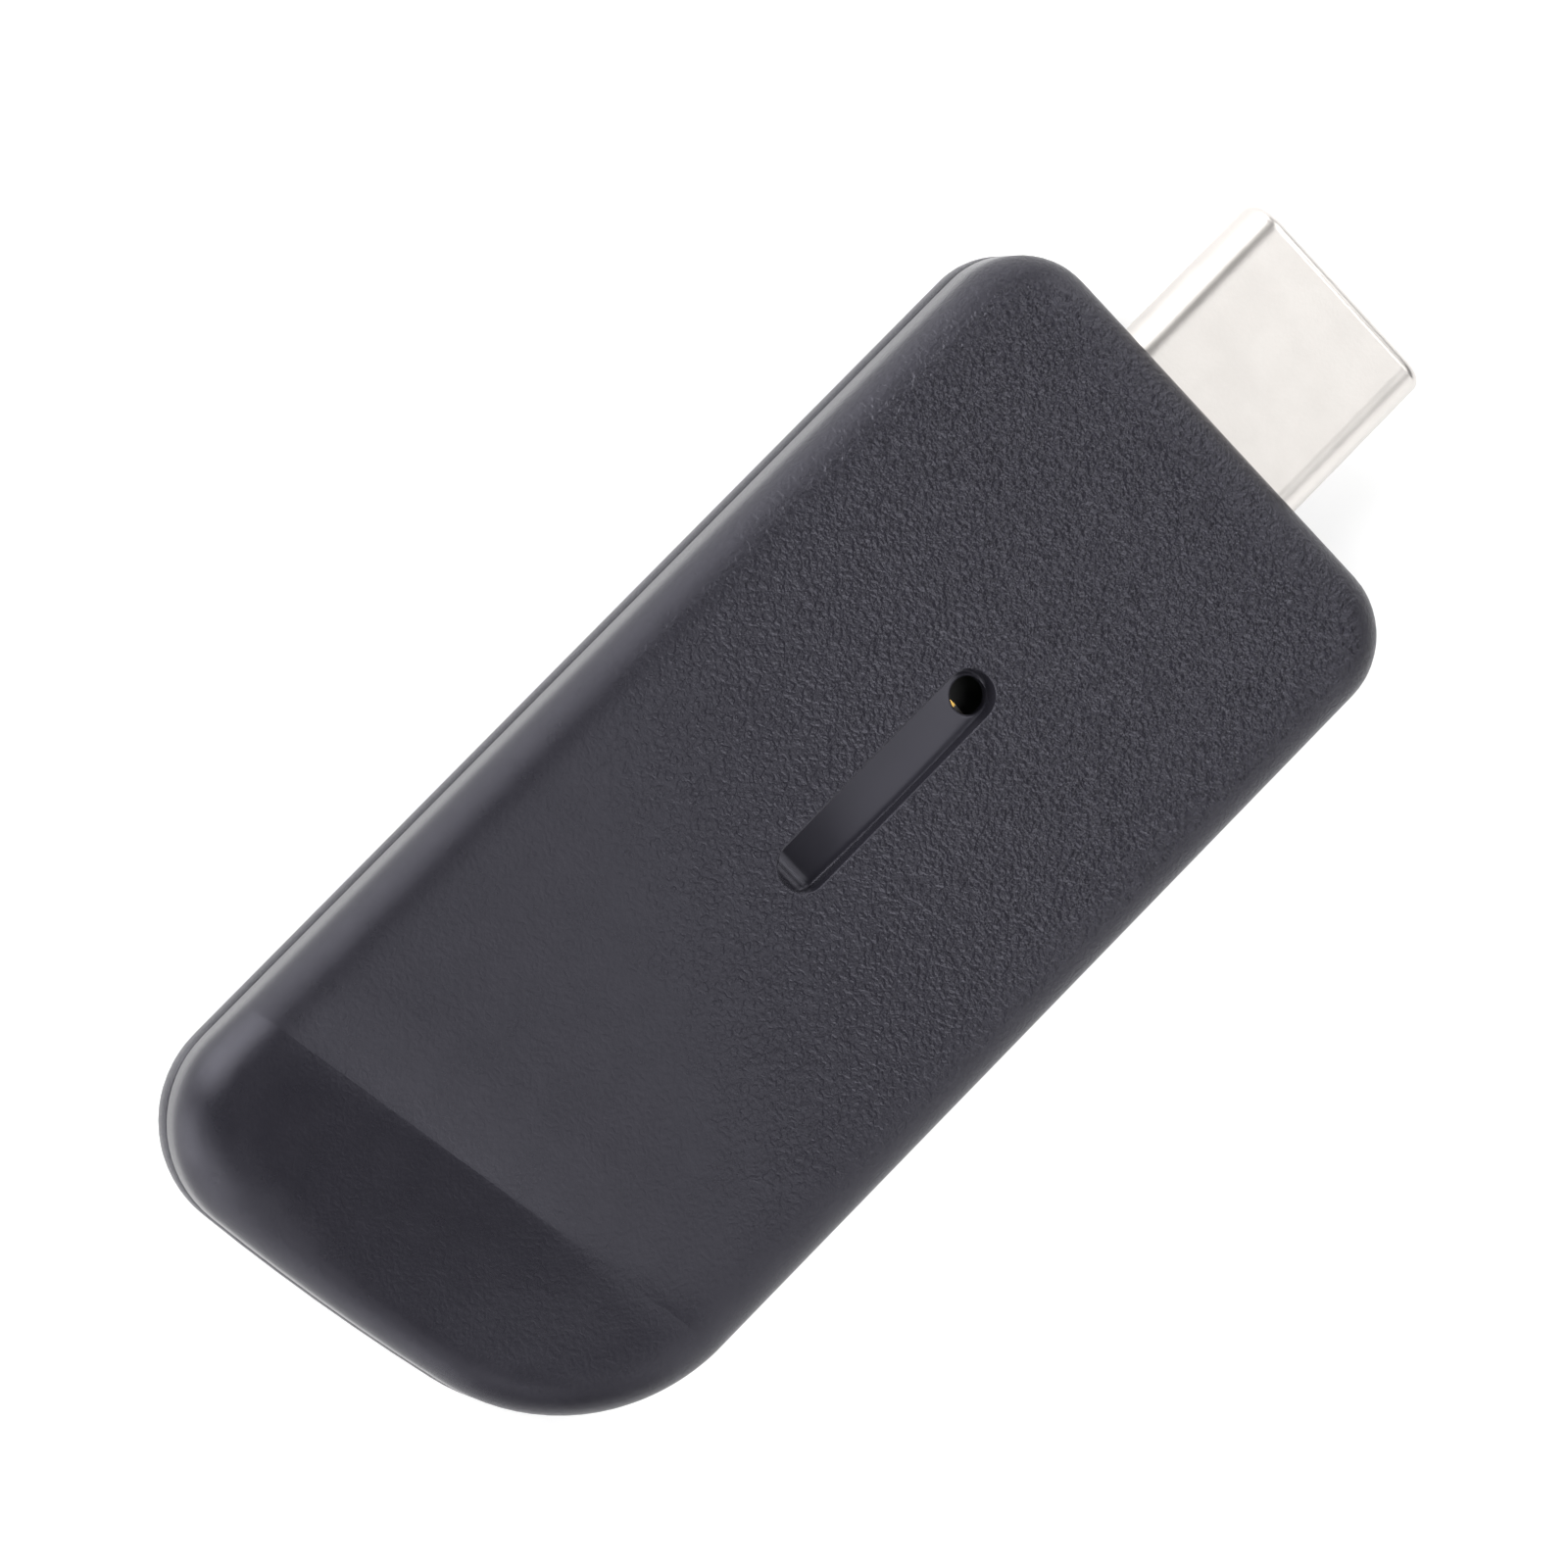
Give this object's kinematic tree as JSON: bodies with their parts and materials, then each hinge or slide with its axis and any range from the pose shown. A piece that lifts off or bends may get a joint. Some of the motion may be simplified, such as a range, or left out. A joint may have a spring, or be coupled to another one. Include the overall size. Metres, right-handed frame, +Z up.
{
  "type": "usb wireless receiver",
  "caption": "Slim USB-C wireless receiver: rounded dark plastic housing with a slanted tail, thumb scoop, pill groove with a small round hole, and a bare metal plug.",
  "frame": {"origin": "on the plug's axis, at the housing's front face", "axes": "+X out of the front face along the plug, +Y to the housing's long side, +Z up through the top face"},
  "size_m": [0.048, 0.019, 0.0053],
  "materials": {
    "cover_plastic": "moulded plastic, fine spark-eroded grain",
    "base_plastic": "moulded plastic, fine spark-eroded grain",
    "plug_steel": "bright nickel-plated drawn steel",
    "insulator_plastic": "moulded black insulator",
    "gold_contacts": "gold-plated spring alloy",
    "spring_steel": "stamped spring steel",
    "board_laminate": "dark solder mask on glass laminate",
    "chip_epoxy": "moulded epoxy package",
    "tinned_steel": "tin-plated sheet",
    "tin_solder": "matte tin",
    "crystal_can": "pressed metal lid",
    "lamp_epoxy": "smoked clear epoxy",
    "gold_pads": "gold-plated copper",
    "antenna_ceramic": "fired ceramic",
    "capacitor_ceramic": "fired ceramic",
    "resistor_body": "black glaze on ceramic",
    "ferrite": "sintered ferrite"
  },
  "bodies": {
    "root": {"top_cover": "cover_plastic", "bottom_cover": "base_plastic", "plug_shell": "plug_steel", "contact_housing": "insulator_plastic", "upper_contacts": "gold_contacts", "lower_contacts": "gold_contacts", "latch_frame": "spring_steel", "upper_ground_spring": "spring_steel", "lower_ground_spring": "spring_steel", "circuit_board": "board_laminate", "radio_chip": "chip_epoxy", "shield_frame": "tinned_steel", "shield_lid": "tinned_steel", "memory_chip": "chip_epoxy", "voltage_regulator": "chip_epoxy", "regulator_leads": "tin_solder", "crystal": "crystal_can", "indicator_led": "lamp_epoxy", "led_frame": "gold_pads", "chip_antenna": "antenna_ceramic", "antenna_ends": "tin_solder", "capacitors": "capacitor_ceramic", "capacitor_ends": "tin_solder", "resistors": "resistor_body", "resistor_ends": "tin_solder", "inductors": "ferrite", "esd_diodes": "chip_epoxy", "test_pads": "gold_pads"}
  },
  "joints": []
}
